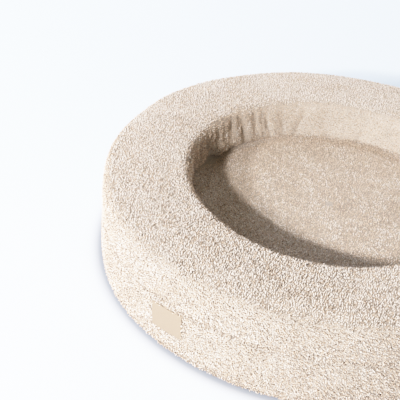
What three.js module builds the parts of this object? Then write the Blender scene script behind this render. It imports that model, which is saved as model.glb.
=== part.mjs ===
// A round pet bed in curly pile cloth: a foam base cushion, a foam ring sewn down on it all round,
// and a woven label on the base's wall. The ring's open middle is the well that the animal lies in.
// Millimetres, +Z up. The origin is the centre of the underside, and the label is on the -Y side.
import * as THREE from "three";
import { mergeVertices } from "three/addons/utils/BufferGeometryUtils.js";

// Driving dimensions
const bedRadius = 325;
const bedHeight = 134;
const seamHeight = 73;
const creaseHeight = 69;
const wellRadius = 203;
const pieceGap = 0.35;

// Roundings of the foam's corners, under the cloth
const rimOuterRounding = 14;
const rimInnerRounding = 17;
const seamRounding = 3.6;
const floorRounding = 4;
const wallBulge = 1.6;
const rimCrown = 2;

// The well's floor: how far its sewn edge is tucked in, how soon it rises, and how high it swells
const creaseTuck = 1.6;
const creaseWidth = 26;
const floorRise = 4.5;
const floorSwell = 3.5;

// The woven label
const labelWidth = 51.5;
const labelHeight = 36;
const labelThickness = 1.2;
const labelMiddle = 48.5;
const labelTilt = 5.1;
const labelAzimuth = -90;

// Where the uneven forms below fade out, in mm: waves of the wall, seen from the wall inwards; waves of the
// rim, above the seam; gathers, past the well's edge and below the rim; and slack cover, round the corner
const wallWaveReach = 60;
const rimWaveStart = 12;
const gatherReach = 14;
const gatherEnd = 22;
const slackReach = 34;

const stepsRound = 144;

// Slow waves of the foam and its cover round the bed: lobes in a full turn, size in mm, start in degrees
const wallWaves = [
  { lobes: 3, size: 0.7, start: 20 },
  { lobes: 5, size: 0.6, start: 110 },
  { lobes: 8, size: 0.5, start: 250 },
];
const rimWaves = [
  { lobes: 2, size: 0.7, start: 60 },
  { lobes: 5, size: 0.6, start: 200 },
  { lobes: 9, size: 0.5, start: 15 },
];
const creaseWaves = [
  { lobes: 4, size: 0.6, start: 80 },
  { lobes: 7, size: 0.5, start: 10 },
];

// Places where the crease round the well's floor lies higher or lower: degrees and mm
const creaseLifts = [
  { at: 203, wide: 30, rise: 6.5 },
  { at: 166, wide: 18, rise: -2.2 },
  { at: 95, wide: 30, rise: 1.2 },
  { at: -20, wide: 40, rise: -1.2 },
];

// Gathers in the ring's inner wall, each a soft valley pressed into the foam. Degrees and mm: where it is at
// the foot, how far it leans by the time it reaches the rim, its half width, and its depth at foot and rim.
const gathers = [
  { at: 206, lean: 3, wide: 4.5, foot: 1.5, rim: 2.5 },
  { at: 191, lean: 5, wide: 4.5, foot: 2, rim: 4.2 },
  { at: 183.5, lean: 12, wide: 5, foot: 6, rim: 0 },
  { at: 177, lean: 1, wide: 4, foot: 2.5, rim: 3.4 },
  { at: 168, lean: 4.6, wide: 4.5, foot: 5.2, rim: 5 },
  { at: 160.5, lean: 4.8, wide: 4, foot: 2.5, rim: 4 },
  { at: 154.5, lean: 4.2, wide: 4.5, foot: 4, rim: 4 },
  { at: 147.5, lean: 2, wide: 4, foot: 1.6, rim: 1.2 },
  { at: 141.4, lean: -2.4, wide: 5, foot: 2.8, rim: 2 },
  { at: 128, lean: 3, wide: 5.5, foot: 1.8, rim: 1.2 },
  { at: 114, lean: -2, wide: 5, foot: 2.2, rim: 1.6 },
  { at: 97, lean: 4, wide: 6, foot: 1.6, rim: 1.4 },
  { at: 83, lean: 1, wide: 4.5, foot: 2.6, rim: 2 },
  { at: 66, lean: -3, wide: 5.5, foot: 1.8, rim: 1.2 },
  { at: 50, lean: 2, wide: 5, foot: 2.2, rim: 1.8 },
  { at: 35, lean: 3, wide: 4.5, foot: 2.8, rim: 2.2 },
  { at: 20, lean: -2, wide: 6, foot: 1.6, rim: 1.2 },
  { at: 3, lean: 3, wide: 5, foot: 2.3, rim: 1.6 },
  { at: -13, lean: -3, wide: 5.5, foot: 1.9, rim: 1.7 },
  { at: -28, lean: 2, wide: 4.5, foot: 2.8, rim: 2.1 },
  { at: -44, lean: 2, wide: 5.5, foot: 1.8, rim: 1.2 },
  { at: -60, lean: -2, wide: 5, foot: 2.2, rim: 1.7 },
  { at: -75, lean: 3, wide: 5, foot: 2.5, rim: 1.9 },
  { at: -92, lean: 3, wide: 6, foot: 1.8, rim: 1.4 },
  { at: -107, lean: -2, wide: 4.5, foot: 2.6, rim: 1.9 },
  { at: -122, lean: 2, wide: 5.5, foot: 1.9, rim: 1.5 },
  { at: -138, lean: 3, wide: 5, foot: 2.3, rim: 1.7 },
];

// Places where the cover is slack over the rim's outer corner, so that the corner falls away further
const slackCorners = [
  { at: -58, wide: 15, sunk: 4.2 },
  { at: 28, wide: 20, sunk: 2.0 },
  { at: 122, wide: 24, sunk: 1.6 },
  { at: -160, wide: 18, sunk: 1.8 },
];

// Shallow hollows and swellings of the well's floor, in mm: place, half width and rise
const floorDents = [
  { x: -60, y: 88, wide: 99, rise: -1.8 },
  { x: 72, y: 34, wide: 112, rise: 1.4 },
  { x: 18, y: -96, wide: 96, rise: -1.5 },
  { x: -104, y: -38, wide: 83, rise: 1.2 },
];

const degrees = THREE.MathUtils.degToRad;
const { clamp, lerp, smoothstep } = THREE.MathUtils;

// The shortest way round from one azimuth to another, in degrees
function turnBetween(from, to) {
  return THREE.MathUtils.euclideanModulo(to - from + 180, 360) - 180;
}

// A soft bump of height 1 at 0 that ends at 1
function bump(t) {
  const near = Math.max(0, 1 - t * t);
  return near * near;
}

function waveAt(waves, azimuth) {
  return waves.reduce(
    (sum, { lobes, size, start }) => sum + size * Math.cos(degrees(lobes * (azimuth - start))),
    0,
  );
}

function slackAt(azimuth) {
  return slackCorners.reduce(
    (sum, { at, wide, sunk }) => sum + sunk * bump(turnBetween(at, azimuth) / wide),
    0,
  );
}

// Depth of the gathers at an azimuth, where up is 0 at the crease and 1 at the rim
function gatherAt(azimuth, up) {
  return gathers.reduce((sum, { at, lean, wide, foot, rim }) => {
    const deep = lerp(foot, rim, smoothstep(up, 0.1, 0.75));
    return sum + deep * bump(turnBetween(at + lean * up, azimuth) / wide);
  }, 0);
}

// The belt where the ring lies on the base slopes down towards the well. This is how far it has sunk there,
// an even slope across the belt, so that ring and base stay the same small gap apart.
function beltDropAt(radius, azimuth) {
  const across = clamp((bedRadius - radius) / (bedRadius - wellRadius), 0, 1);
  const lifts = creaseLifts.reduce(
    (sum, { at, wide, rise }) => sum + rise * bump(turnBetween(at, azimuth) / wide),
    0,
  );
  return across * (seamHeight - creaseHeight - lifts - waveAt(creaseWaves, azimuth));
}

function floorDentAt(x, y) {
  return floorDents.reduce(
    (sum, dent) => sum + dent.rise * bump(Math.hypot(x - dent.x, y - dent.y) / dent.wide),
    0,
  );
}

// Points of an arc in a section, from one angle to another, both ends counted. Angle 0 points outwards.
function arc(centreRadius, centreHeight, radius, from, to, steps) {
  return Array.from({ length: steps + 1 }, (_, i) => {
    const angle = degrees(lerp(from, to, i / steps));
    return new THREE.Vector2(
      centreRadius + radius * Math.cos(angle),
      centreHeight + radius * Math.sin(angle),
    );
  });
}

// The outer wall swells a little between its lower and upper seam
function wallRadiusAt(height, low, high) {
  const across = (2 * height - low - high) / (high - low);
  return bedRadius + wallBulge * (1 - across * across);
}

function wallPoints(low, high, shares) {
  const heights = shares.map((share) => lerp(low, high, share));
  return heights.map((height) => new THREE.Vector2(wallRadiusAt(height, low, high), height));
}

// The flat belt where the ring lies on the base, cut in a few steps between its two ends
function beltPoints(from, to, height) {
  const shares = [0, 0.2, 0.4, 0.6, 0.8, 1];
  return shares.map((share) => new THREE.Vector2(lerp(from, to, share), height));
}

// The ring's section, once round: up its outer wall, over the rim, down into the well, and back below
function ringSection() {
  const low = seamHeight + pieceGap;
  const rimEdge = bedHeight - rimCrown;
  const shoulder = rimEdge - rimOuterRounding;
  const lip = rimEdge - rimInnerRounding;
  const rimFrom = bedRadius - rimOuterRounding;
  const rimTo = wellRadius + rimInnerRounding;
  const rim = [0.25, 0.5, 0.75].map(
    (share) =>
      new THREE.Vector2(lerp(rimFrom, rimTo, share), rimEdge + rimCrown * Math.sin(Math.PI * share)),
  );
  const innerHeights = [0.8, 0.6, 0.4, 0.2].map((share) => lerp(low + seamRounding, lip, share));
  const innerWall = innerHeights.map((height) => new THREE.Vector2(wellRadius, height));
  return [
    ...arc(bedRadius - seamRounding, low + seamRounding, seamRounding, -90, 0, 2),
    ...wallPoints(low + seamRounding, shoulder, [0.3, 0.65]),
    ...arc(rimFrom, shoulder, rimOuterRounding, 0, 90, 4),
    ...rim,
    ...arc(rimTo, lip, rimInnerRounding, 90, 180, 4),
    ...innerWall,
    ...arc(wellRadius + seamRounding, low + seamRounding, seamRounding, 180, 270, 2),
    ...beltPoints(wellRadius + seamRounding, bedRadius - seamRounding, low).slice(1),
  ];
}

// The base's section, from the middle of the underside, up the wall and back to the middle of the floor
function baseSection() {
  const high = seamHeight;
  const floorShares = [1, 0.95, 0.87, 0.73, 0.5, 0.25];
  return [
    new THREE.Vector2(0, 0),
    ...arc(bedRadius - floorRounding, floorRounding, floorRounding, -90, 0, 2),
    ...wallPoints(floorRounding, high - seamRounding, [0.2, 0.4, 0.6, 0.8]),
    ...arc(bedRadius - seamRounding, high - seamRounding, seamRounding, 0, 90, 2),
    ...beltPoints(bedRadius - seamRounding, wellRadius + 2 * seamRounding, high).slice(1),
    new THREE.Vector2(wellRadius + 0.5 * seamRounding, high - 0.5 * creaseTuck),
    ...floorShares.map((share) => new THREE.Vector2(share * (wellRadius - seamRounding), high)),
    new THREE.Vector2(0, high),
  ];
}

// Turns a section round the upright axis and moves each point of the surface by a rule
function turned(section, move) {
  const lathe = new THREE.LatheGeometry(section, stepsRound);
  lathe.rotateX(Math.PI / 2);
  lathe.deleteAttribute("uv");
  lathe.deleteAttribute("normal");
  const points = lathe.getAttribute("position");
  for (let i = 0; i < points.count; i += 1) {
    const x = points.getX(i);
    const y = points.getY(i);
    const radius = Math.hypot(x, y);
    const azimuth = Math.atan2(y, x);
    const moved = move(radius, points.getZ(i), THREE.MathUtils.radToDeg(azimuth));
    points.setXYZ(i, moved.radius * Math.cos(azimuth), moved.radius * Math.sin(azimuth), moved.height);
  }
  const merged = mergeVertices(lathe, 1e-4);
  merged.computeVertexNormals();
  return merged;
}

// How much of the wall's wander a point takes: all of it at the wall, none in the middle of the rim
function outerShare(radius) {
  return smoothstep(radius, bedRadius - wallWaveReach, bedRadius - 6);
}

function moveRingPoint(radius, height, azimuth) {
  const up = smoothstep(height, seamHeight, bedHeight - rimInnerRounding);
  const low = 1 - smoothstep(height, seamHeight + pieceGap, bedHeight - rimInnerRounding);
  const above = smoothstep(height, seamHeight + rimWaveStart, bedHeight - 6);
  const inner = 1 - smoothstep(radius, wellRadius + 2, wellRadius + gatherReach);
  const clearOfRim = 1 - smoothstep(height, bedHeight - gatherEnd, bedHeight - 2);
  const corner = bump(Math.hypot(radius - bedRadius, height - bedHeight) / slackReach);
  const sunk = slackAt(azimuth) * corner;
  const outwards =
    waveAt(wallWaves, azimuth) * outerShare(radius) + gatherAt(azimuth, up) * inner * clearOfRim - sunk;
  const drop = beltDropAt(radius + outwards, azimuth) * low;
  return {
    radius: radius + outwards,
    height: height + waveAt(rimWaves, azimuth) * above - sunk - drop,
  };
}

// How far a point of the base's top is lifted: down along the belt to the crease, and up again over the floor
function topLiftAt(radius, azimuth) {
  const x = radius * Math.cos(degrees(azimuth));
  const y = radius * Math.sin(degrees(azimuth));
  const fromCrease = smoothstep(wellRadius - radius, 0, creaseWidth);
  const crown = Math.sqrt(Math.max(0, 1 - (radius / wellRadius) ** 2));
  const atCrease = -beltDropAt(radius, azimuth) - (radius < wellRadius ? creaseTuck : 0);
  const onFloor = floorRise + floorSwell * crown + floorDentAt(x, y) + creaseHeight - seamHeight;
  return lerp(atCrease, onFloor, fromCrease);
}

function moveBasePoint(radius, height, azimuth) {
  const share = outerShare(radius) * smoothstep(height, -8, floorRounding);
  const onTop = smoothstep(height, seamHeight / 2, seamHeight - 2);
  return {
    radius: radius + waveAt(wallWaves, azimuth) * share,
    height: height + topLiftAt(radius, azimuth) * onTop,
  };
}

// The label is a flat woven strip bent to the base's wall and standing just clear of it
function labelGeometry() {
  const acrossSteps = 12;
  const upSteps = 6;
  const strip = new THREE.BoxGeometry(labelWidth, labelHeight, labelThickness, acrossSteps, upSteps, 1);
  strip.rotateZ(degrees(labelTilt));
  const points = strip.getAttribute("position");
  for (let i = 0; i < points.count; i += 1) {
    const height = labelMiddle + points.getY(i);
    const azimuth = labelAzimuth + THREE.MathUtils.radToDeg(points.getX(i) / bedRadius);
    const wall = wallRadiusAt(height, floorRounding, seamHeight - seamRounding);
    const outwards = points.getZ(i) + labelThickness / 2 + pieceGap;
    const radius = wall + waveAt(wallWaves, azimuth) + outwards;
    points.setXYZ(i, radius * Math.cos(degrees(azimuth)), radius * Math.sin(degrees(azimuth)), height);
  }
  strip.deleteAttribute("uv");
  strip.deleteAttribute("normal");
  const merged = mergeVertices(strip, 1e-4);
  merged.computeVertexNormals();
  return merged;
}

const pileCloth = new THREE.MeshStandardMaterial({ color: 0xe6dccf, roughness: 0.95, metalness: 0 });
const floorCloth = new THREE.MeshStandardMaterial({ color: 0xe0d3c4, roughness: 0.95, metalness: 0 });
const labelTape = new THREE.MeshStandardMaterial({ color: 0xd9c9a5, roughness: 0.7, metalness: 0 });

function piece(name, geometry, material) {
  const mesh = new THREE.Mesh(geometry, material);
  mesh.name = name;
  return mesh;
}

const bed = new THREE.Group();
bed.add(
  piece("base_cushion", turned(baseSection(), moveBasePoint), floorCloth),
  piece("ring_bolster", turned(ringSection(), moveRingPoint), pileCloth),
  piece("woven_label", labelGeometry(), labelTape),
);

export default bed;
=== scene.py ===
# %% [markdown]
# # A round dog bed in curly pile cloth
# The bed is two foam cushions in one cloth: a round base, and a broad ring sewn down on it. The ring's
# open middle is the well where the animal sleeps. The cloth is a boucle, a yarn that is spun with tiny
# loops, so up close the whole bed is small pale curls with darker gaps between them.
#
# The fixed frame is loaded first. It holds the two cushions and the label as plain solids at their real
# size, and every piece made below takes the place of one of them or lies on one of them.

# %% Load the frame
import math

import bmesh
import bpy
import numpy as np
from mathutils import Matrix, Vector


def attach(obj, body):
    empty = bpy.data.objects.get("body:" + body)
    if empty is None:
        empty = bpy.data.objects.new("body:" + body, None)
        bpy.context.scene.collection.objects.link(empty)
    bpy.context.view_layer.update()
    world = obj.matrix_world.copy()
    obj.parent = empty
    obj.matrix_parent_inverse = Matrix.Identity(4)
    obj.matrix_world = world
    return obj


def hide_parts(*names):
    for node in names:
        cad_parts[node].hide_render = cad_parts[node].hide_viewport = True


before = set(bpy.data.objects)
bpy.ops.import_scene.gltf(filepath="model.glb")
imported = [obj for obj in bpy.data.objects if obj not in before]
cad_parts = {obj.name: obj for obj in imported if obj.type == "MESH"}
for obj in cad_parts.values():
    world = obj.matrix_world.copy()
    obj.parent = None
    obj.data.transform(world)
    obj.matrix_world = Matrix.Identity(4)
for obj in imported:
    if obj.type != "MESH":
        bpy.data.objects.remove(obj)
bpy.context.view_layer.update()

# %% [markdown]
# ## The bed's own sizes
# Blender works in metres. A cutter's sheet for this bed would give the sizes below, and all the rest
# follows from them. The pile stands on the cloth's ground, so the ground lies a little inside the size
# that is measured over the curls.

# %% Sizes
MM = 0.001
BED_RADIUS = 325 * MM
BED_HEIGHT = 134 * MM
SEAM_HEIGHT = 73 * MM
CREASE_HEIGHT = 69 * MM
WELL_RADIUS = 203 * MM
PIECE_GAP = 0.35 * MM
PILE_HEIGHT = 2.2 * MM

RIM_OUTER_ROUNDING = 14 * MM
RIM_INNER_ROUNDING = 17 * MM
RIM_CROWN = 2 * MM
SEAM_ROUNDING = 3.6 * MM
FLOOR_ROUNDING = 4 * MM
WALL_BULGE = 1.6 * MM
print("the well is", round(2 * WELL_RADIUS / MM), "mm across")
print("the ring is", round((BED_RADIUS - WELL_RADIUS) / MM), "mm broad")

# %% [markdown]
# ## The camera
# The photograph looks down at the bed from the front, a little to the right of its label, and so close
# that the bed runs out of the picture on the right. The camera is placed by what can be read off such a
# picture: how strong its lens is, how far it is from the bed's middle, from which side and how steeply it
# looks, where in the picture the middle of the underside falls, and how far the camera is rolled. Turning
# these into a matrix once is simpler than nudging a camera by hand.

# %% Place the camera
PICTURE_SIDE = 400
FOCAL_PIXELS = 939.2
CAMERA_DISTANCE = 4.345 * BED_RADIUS
CAMERA_ELEVATION = math.radians(36.27)
CAMERA_SIDE = math.radians(32)
CAMERA_ROLL = math.radians(10.2)
MIDDLE_PIXEL = (321.2, 247.05)
SENSOR_WIDTH = 36
NEAREST_SEEN = 50 * MM


def camera_matrix():
    """Where the camera stands and how it is turned, in the bed's frame."""
    towards = Vector((0, -math.cos(CAMERA_ELEVATION), math.sin(CAMERA_ELEVATION)))
    ahead = -towards
    right = ahead.cross(Vector((0, 0, 1))).normalized()
    level = Matrix((right, ahead.cross(right), ahead))
    offset = [(pixel - PICTURE_SIDE / 2) / FOCAL_PIXELS for pixel in MIDDLE_PIXEL]
    aim = Vector((0, 0, 1)).rotation_difference(Vector((*offset, 1)).normalized()).to_matrix()
    turned = aim @ Matrix.Rotation(CAMERA_ROLL, 3, "Z") @ level
    columns = Matrix((turned[0], -turned[1], -turned[2])).transposed()
    place = Matrix.Translation(towards * CAMERA_DISTANCE)
    return Matrix.Rotation(CAMERA_SIDE, 4, "Z") @ place @ columns.to_4x4()


def make_camera():
    """A camera that sees the bed as the photograph does."""
    data = bpy.data.cameras.new("photo_camera")
    data.sensor_width = SENSOR_WIDTH
    data.lens = FOCAL_PIXELS * SENSOR_WIDTH / PICTURE_SIDE
    data.clip_start = NEAREST_SEEN
    camera = bpy.data.objects.new("photo_camera", data)
    bpy.context.scene.collection.objects.link(camera)
    camera.matrix_world = camera_matrix()
    bpy.context.scene.camera = camera
    return camera


photo_camera = make_camera()
print("the lens is", round(photo_camera.data.lens, 1), "mm")

# %% [markdown]
# ## Soft shapes from formulas
# Foam under cloth is never quite round. Its wall wanders, its rim heaves a little, and the cloth is
# gathered where it is turned into the well. Each of these is a small formula that depends on the place
# round the bed, so the whole bed is a turned profile whose points are then pushed about. Numpy does this
# for all points at once.

# %% Helpers for soft shapes
def smoothstep(x, low, high):
    """0 below low, 1 above high and a smooth rise between them."""
    share = np.clip((x - low) / (high - low), 0, 1)
    return share * share * (3 - 2 * share)


def turn_between(start, end):
    """The shortest way round from one azimuth to another, in degrees."""
    return (end - start + 180) % 360 - 180


def bump(t):
    """A soft bump of height 1 at 0 that ends at 1."""
    return np.clip(1 - t * t, 0, None) ** 2


def waves_at(waves, azimuth):
    """Slow waves round the bed: lobes in a full turn, size in mm and start in degrees."""
    return sum(size * MM * np.cos(np.radians(lobes * (azimuth - start))) for lobes, size, start in waves)


WALL_WAVES = [(3, 0.7, 20), (5, 0.6, 110), (8, 0.5, 250)]
RIM_WAVES = [(2, 0.7, 60), (5, 0.6, 200), (9, 0.5, 15)]
CREASE_WAVES = [(4, 0.6, 80), (7, 0.5, 10)]
for part, waves in (("wall", WALL_WAVES), ("rim", RIM_WAVES), ("crease", CREASE_WAVES)):
    print("the", part, "wanders by up to", round(sum(size for lobes, size, start in waves), 1), "mm")

# %% [markdown]
# ## Gathers, puffs and slack corners
# The ring's inner wall is a strip that was cut too long for the small circle it is sewn to, so it puckers
# into short upright folds. They are deep and close together on the left of the well and faint elsewhere,
# and along its length a fold is deep in one place and shallow in the next. Between some of them the cloth
# puffs out. On top, the foam swells over the well's edge in three places, and over the outer corner the
# cover is slack in four.
#
# Simulated cloth would pucker by itself, but where it likes. Short tables with one row for each fold put
# the folds where the real bed has them, and keep them as uneven.

# %% Tables of folds
# Degrees and mm: place at the foot, lean towards the rim, half width, depth at the foot and at the rim
GATHERS = [
    (219, 2.0, 3.6, 1.4, 1.8),
    (206, 3.0, 3.6, 1.5, 2.4),
    (199.5, 2.4, 2.2, 1.0, 2.0),
    (192.0, 2.2, 2.6, 2.4, 4.2),
    (189.0, 1.0, 4.6, 5.6, 0.0),
    (184.4, 1.6, 1.8, 0.0, 2.0),
    (180.4, 1.2, 1.6, 0.2, 1.4),
    (176.4, 0.6, 3.0, 0.4, 2.4),
    (171.8, 1.0, 1.6, 0.6, 1.6),
    (167.7, 3.5, 2.9, 3.2, 3.6),
    (162.2, 2.0, 3.8, 0.4, 3.4),
    (158.0, 2.4, 1.6, 0.8, 1.8),
    (155.0, 3.0, 2.8, 1.6, 3.6),
    (148.5, 2.0, 2.8, 1.4, 1.8),
    (142.5, -2.4, 3.4, 2.2, 1.6),
    (128, 3, 4.4, 1.8, 1.2),
    (114, -2, 4.0, 2.2, 1.6),
    (97, 4, 5.0, 1.6, 1.4),
    (83, 1, 4.0, 2.6, 2.0),
    (66, -3, 4.6, 1.8, 1.2),
    (50, 2, 4.0, 2.2, 1.8),
    (35, 3, 3.6, 3.0, 2.4),
    (20, -2, 5.0, 1.6, 1.2),
    (3, 3, 4.0, 2.4, 1.6),
    (-13, -3, 4.6, 1.9, 1.8),
    (-28, 2, 3.6, 3.0, 2.2),
    (-44, 2, 4.6, 1.8, 1.2),
    (-60, -2, 4.0, 2.2, 1.7),
    (-75, 3, 4.0, 2.6, 2.0),
    (-92, 3, 5.0, 1.8, 1.4),
    (-107, -2, 3.6, 2.8, 2.0),
    (-122, 2, 4.6, 1.9, 1.5),
]
# Degrees and mm: place, height, half width, half height and how far the cloth puffs out into the well
PUFFS = [
    (184.2, 84, 7.0, 15, 4.6),
    (178.8, 79, 4.4, 13, 1.4),
    (172.4, 98, 3.4, 26, 1.6),
    (164.6, 94, 2.4, 26, 1.4),
    (199, 96, 5.0, 24, 1.4),
]
# Degrees and mm: place, half width and how far the corner sinks
SLACK_CORNERS = [(-58, 15, 4.2), (28, 20, 2.0), (122, 24, 1.6), (-160, 18, 1.8)]
# Degrees and mm: place, half width and how far the rim's inner corner swells up and into the well
RIM_SWELLS = [(-142, 30, 3.4), (-106, 44, 3.0), (-38, 42, 3.2)]
# Mm: place across the well's floor, half width and rise
FLOOR_DENTS = [(-60, 88, 99, -1.8), (72, 34, 112, 1.4), (18, -96, 96, -1.5), (-104, -38, 83, 1.2)]
# Degrees and mm: place round the crease, half width and rise of the floor's edge there
CREASE_LIFTS = [(210, 28, 6.5), (166, 18, -2.2), (95, 30, 1.2), (-20, 40, -1.2)]
# Degrees: place round the crease, half width, and how much more it shows there than where pile fills it.
# Where it shows, it is tucked deeper and its pile is painted darker as painted shade; where it is filled,
# the pile is painted lighter as painted light.
CREASE_SHOWS = [(200, 28, 1.8), (174, 28, 1.25), (60, 50, 0.5), (-60, 60, 0.6)]
CREASE_FILLED = -0.8
deepest = max(GATHERS, key=lambda row: max(row[3:]))
print(len(GATHERS), "gathers, the deepest", max(deepest[3:]), "mm at", deepest[0], "degrees")

# %% [markdown]
# ## Reading the tables
# A gather is a valley with a narrow bottom, where the cloth is pinched, and soft shoulders. Puffs and
# swellings are round all over, so a plain bump serves for them. Most tables have rows of one kind, a
# place, a half width and a size, and one function adds up any of those. All functions take whole arrays
# of azimuths, so one call folds a whole cushion.

# %% Folds at a place
FOLD_BOTTOM = 0.1
FOOT_ENDS = 0.1
RIM_STARTS = 0.75
DEPTH_WOBBLE = 0.35
WOBBLE_STEPS = 7


def fold(t):
    """A valley with a narrow bottom and soft shoulders, 1 at 0 and nothing past 1."""
    return np.clip(1 - np.sqrt(t * t + FOLD_BOTTOM**2) + FOLD_BOTTOM, 0, 1) ** 2


def gathers_at(azimuth, up):
    """Depth of the gathers, where up is 0 at the crease and 1 at the rim."""
    depth = 0
    for place, lean, width, foot, rim in GATHERS:
        deep = foot + (rim - foot) * smoothstep(up, FOOT_ENDS, RIM_STARTS)
        uneven = 1 + DEPTH_WOBBLE * np.sin(WOBBLE_STEPS * up + place)
        depth = depth + deep * uneven * MM * fold(turn_between(place + lean * up, azimuth) / width)
    return depth


def puffs_at(height, azimuth):
    """How far the cloth stands out between the gathers."""
    return sum(
        out * MM * bump(np.hypot(turn_between(place, azimuth) / width, (height / MM - middle) / tall))
        for place, middle, width, tall, out in PUFFS
    )


def bumps_at(table, azimuth, unit=MM):
    """The sum of a table's bumps round the bed, from rows of place, half width and size in a unit."""
    return sum(size * unit * bump(turn_between(place, azimuth) / width) for place, width, size in table)


def crease_shows(azimuth):
    """Above 0 where the crease round the well's floor shows, and below 0 where it is filled."""
    return CREASE_FILLED + bumps_at(CREASE_SHOWS, azimuth, unit=1)


for row in (deepest, GATHERS[-1]):
    foot_depth = float(gathers_at(row[0], 0.0)) / MM
    print("at", row[0], "degrees a gather's foot is", round(foot_depth, 1), "mm deep")

# %% [markdown]
# ## The ring's profile
# The ring has upright walls and a nearly flat top, so a torus would be too round for it. Its section is
# drawn as it is and turned round the bed's axis, as a wood turner would do. A profile is a path of
# points, each a distance from the axis and a height. It is drawn in three stretches, outside, top and
# inside, because the pile is laid on one stretch at a time. The flat underside of the ring closes the
# profile. Rounded corners are arcs.

# %% Profile helpers
SAME_PLACE = 1e-6


def arc(centre_radius, centre_height, radius, start, end, steps=10):
    """Points on an arc, from one angle to another, where 0 points outwards and 90 up."""
    angle = np.radians(np.linspace(start, end, steps + 1))
    return np.stack([centre_radius + radius * np.cos(angle), centre_height + radius * np.sin(angle)], 1)


def wall_radius(height, low, high):
    """The outer wall swells a little between its two seams."""
    across = (2 * height - low - high) / (high - low)
    return BED_RADIUS + WALL_BULGE * (1 - across * across)


def wall(low, high, steps=14):
    """The swelling stretch of an outer wall, at the cloth's ground."""
    height = np.linspace(low, high, steps)
    return np.stack([wall_radius(height, low, high) - PILE_HEIGHT, height], 1)


def step_lengths(path):
    """The distances from each point of a path to the next."""
    return np.linalg.norm(np.diff(path, axis=0), axis=1)


def joined(*stretches):
    """One path through all of them, with no point twice."""
    points = np.concatenate(stretches)
    return points[np.concatenate([[True], step_lengths(points) > SAME_PLACE])]


def along(path, share):
    """The point at a share, from 0 to 1, of a path's length, as its radius and its height."""
    lengths = np.concatenate([[0], np.cumsum(step_lengths(path))])
    at = np.asarray(share) * lengths[-1]
    return np.interp(at, lengths, path[:, 0]), np.interp(at, lengths, path[:, 1])


def length_of(path):
    """The path's length in metres."""
    return float(step_lengths(path).sum())


quarter = arc(0, 0, RIM_INNER_ROUNDING, 0, 90)
print("the rim's inner rounding is", round(length_of(quarter) / MM, 1), "mm of cloth")

# %% The ring's three stretches
RIM_TURN = 60
CROWN_STEPS = 24


def ring_profile():
    """The ring's outside, top, inside and underside, as paths at the cloth's ground."""
    low = SEAM_HEIGHT + PIECE_GAP
    edge = BED_HEIGHT - RIM_CROWN - PILE_HEIGHT
    outer = BED_RADIUS - PILE_HEIGHT
    inner = WELL_RADIUS + PILE_HEIGHT
    round_out = RIM_OUTER_ROUNDING - PILE_HEIGHT / 2
    round_in = RIM_INNER_ROUNDING - PILE_HEIGHT / 2
    shoulder = edge - round_out
    lip = edge - round_in
    outside = joined(
        arc(outer - SEAM_ROUNDING, low + SEAM_ROUNDING, SEAM_ROUNDING, -90, 0),
        wall(low + SEAM_ROUNDING, shoulder),
        arc(outer - round_out, shoulder, round_out, 0, RIM_TURN),
    )
    share = np.linspace(0, 1, CROWN_STEPS)
    crown_radius = outer - round_out + (inner + round_in - outer + round_out) * share
    crown = np.stack([crown_radius, edge + RIM_CROWN * np.sin(np.pi * share)], 1)
    top = joined(
        arc(outer - round_out, shoulder, round_out, RIM_TURN, 90),
        crown,
        arc(inner + round_in, lip, round_in, 90, 180 - RIM_TURN),
    )
    inside = joined(
        arc(inner + round_in, lip, round_in, 180 - RIM_TURN, 180),
        arc(inner + SEAM_ROUNDING, low + SEAM_ROUNDING, SEAM_ROUNDING, 180, 270),
    )
    underside = np.array([inside[-1], outside[0]])
    return {"outside": outside, "top": top, "inside": inside, "underside": underside}


RING = ring_profile()
print({name: round(length_of(path) / MM) for name, path in RING.items()}, "mm of cloth across the ring")

# %% [markdown]
# ## Pushing the ring about
# Each push belongs to one part of the ring and fades out beside it. The waves of the foam act on the
# outer wall and the rim, slack cloth on the outer corner, swellings on the inner corner, and gathers and
# puffs on the inner wall alone. At its foot the ring follows the base, which slopes down towards the
# well.

# %% How the ring is pushed
WAVE_REACH = 60 * MM
WAVE_FULL = 6 * MM
RIM_WAVES_START = 12 * MM
SLACK_REACH = 34 * MM
SWELL_INSET = 6 * MM
SWELL_REACH = 26 * MM
SWELL_INWARDS = 0.7
SWELL_UPWARDS = 0.5
# Where gathers fade, from full to none: how far into the ring, and how far below its rim
GATHER_SKIN = (6 * MM, 19 * MM)
GATHER_END = (19 * MM, 4 * MM)


def near_wall(radius):
    """0 in the inner parts of a cushion and 1 at its outer wall."""
    return smoothstep(radius, BED_RADIUS - WAVE_REACH, BED_RADIUS - WAVE_FULL)


def belt_drop_at(radius, azimuth):
    """How far the belt under the ring has sunk, since it slopes down towards the well."""
    across = np.clip((BED_RADIUS - radius) / (BED_RADIUS - WELL_RADIUS), 0, 1)
    lifts = bumps_at(CREASE_LIFTS, azimuth)
    return across * (SEAM_HEIGHT - CREASE_HEIGHT - lifts - waves_at(CREASE_WAVES, azimuth))


def gather_push(radius, height, azimuth):
    """How far gathers press a point of the ring outwards. Puffs bring it back and into the well."""
    up = smoothstep(height, SEAM_HEIGHT, BED_HEIGHT - RIM_INNER_ROUNDING)
    full, none = GATHER_SKIN
    inner = 1 - smoothstep(radius, WELL_RADIUS + full, WELL_RADIUS + none)
    full, none = GATHER_END
    below_rim = 1 - smoothstep(height, BED_HEIGHT - full, BED_HEIGHT - none)
    return (gathers_at(azimuth, up) - puffs_at(height, azimuth)) * inner * below_rim


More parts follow.
